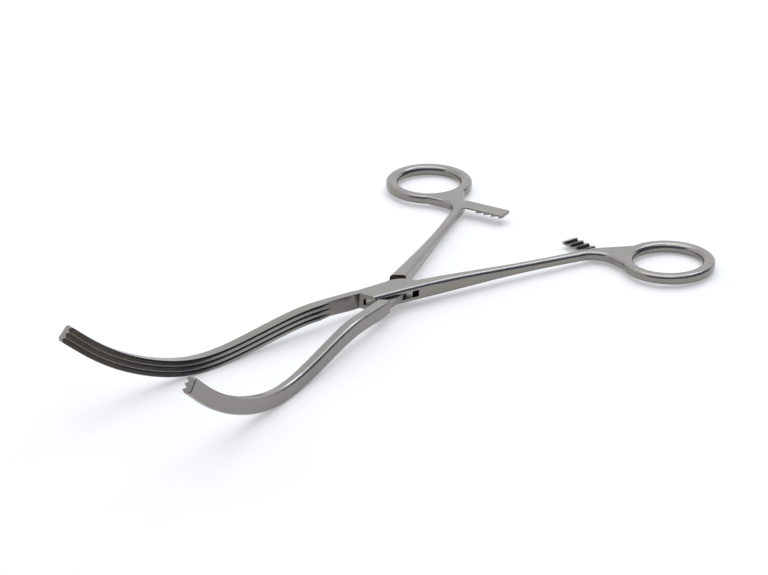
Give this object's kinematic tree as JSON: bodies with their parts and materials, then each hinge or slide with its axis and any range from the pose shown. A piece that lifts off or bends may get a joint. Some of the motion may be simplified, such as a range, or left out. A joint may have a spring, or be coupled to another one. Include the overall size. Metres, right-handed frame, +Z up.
{
  "type": "intestinal forceps",
  "caption": "Ratcheted box-lock forceps with finger rings and long double-curved jaws with lengthwise serrations, for holding bowel or tissue.",
  "frame": {"origin": "middle of the bottom of the bounding box of the open instrument as it lies at rest", "axes": "+X towards the jaw tips along the line that halves the opening, +Y towards the box half's ring, +Z up from the table"},
  "size_m": [0.2296, 0.134, 0.0303],
  "materials": {
    "steel": "satin"
  },
  "bodies": {
    "box_side": {"box_half": "steel", "pivot_pin": "steel"},
    "male_side": {"male_half": "steel"}
  },
  "joints": [
    {"name": "box_lock", "type": "hinge", "parent": "box_side", "child": "male_side", "pos_m": [-0.01017, 0, 0.0054], "axis": [-0.0318, 0, 0.9995], "range_deg": [-21.6, 38.4]}
  ]
}
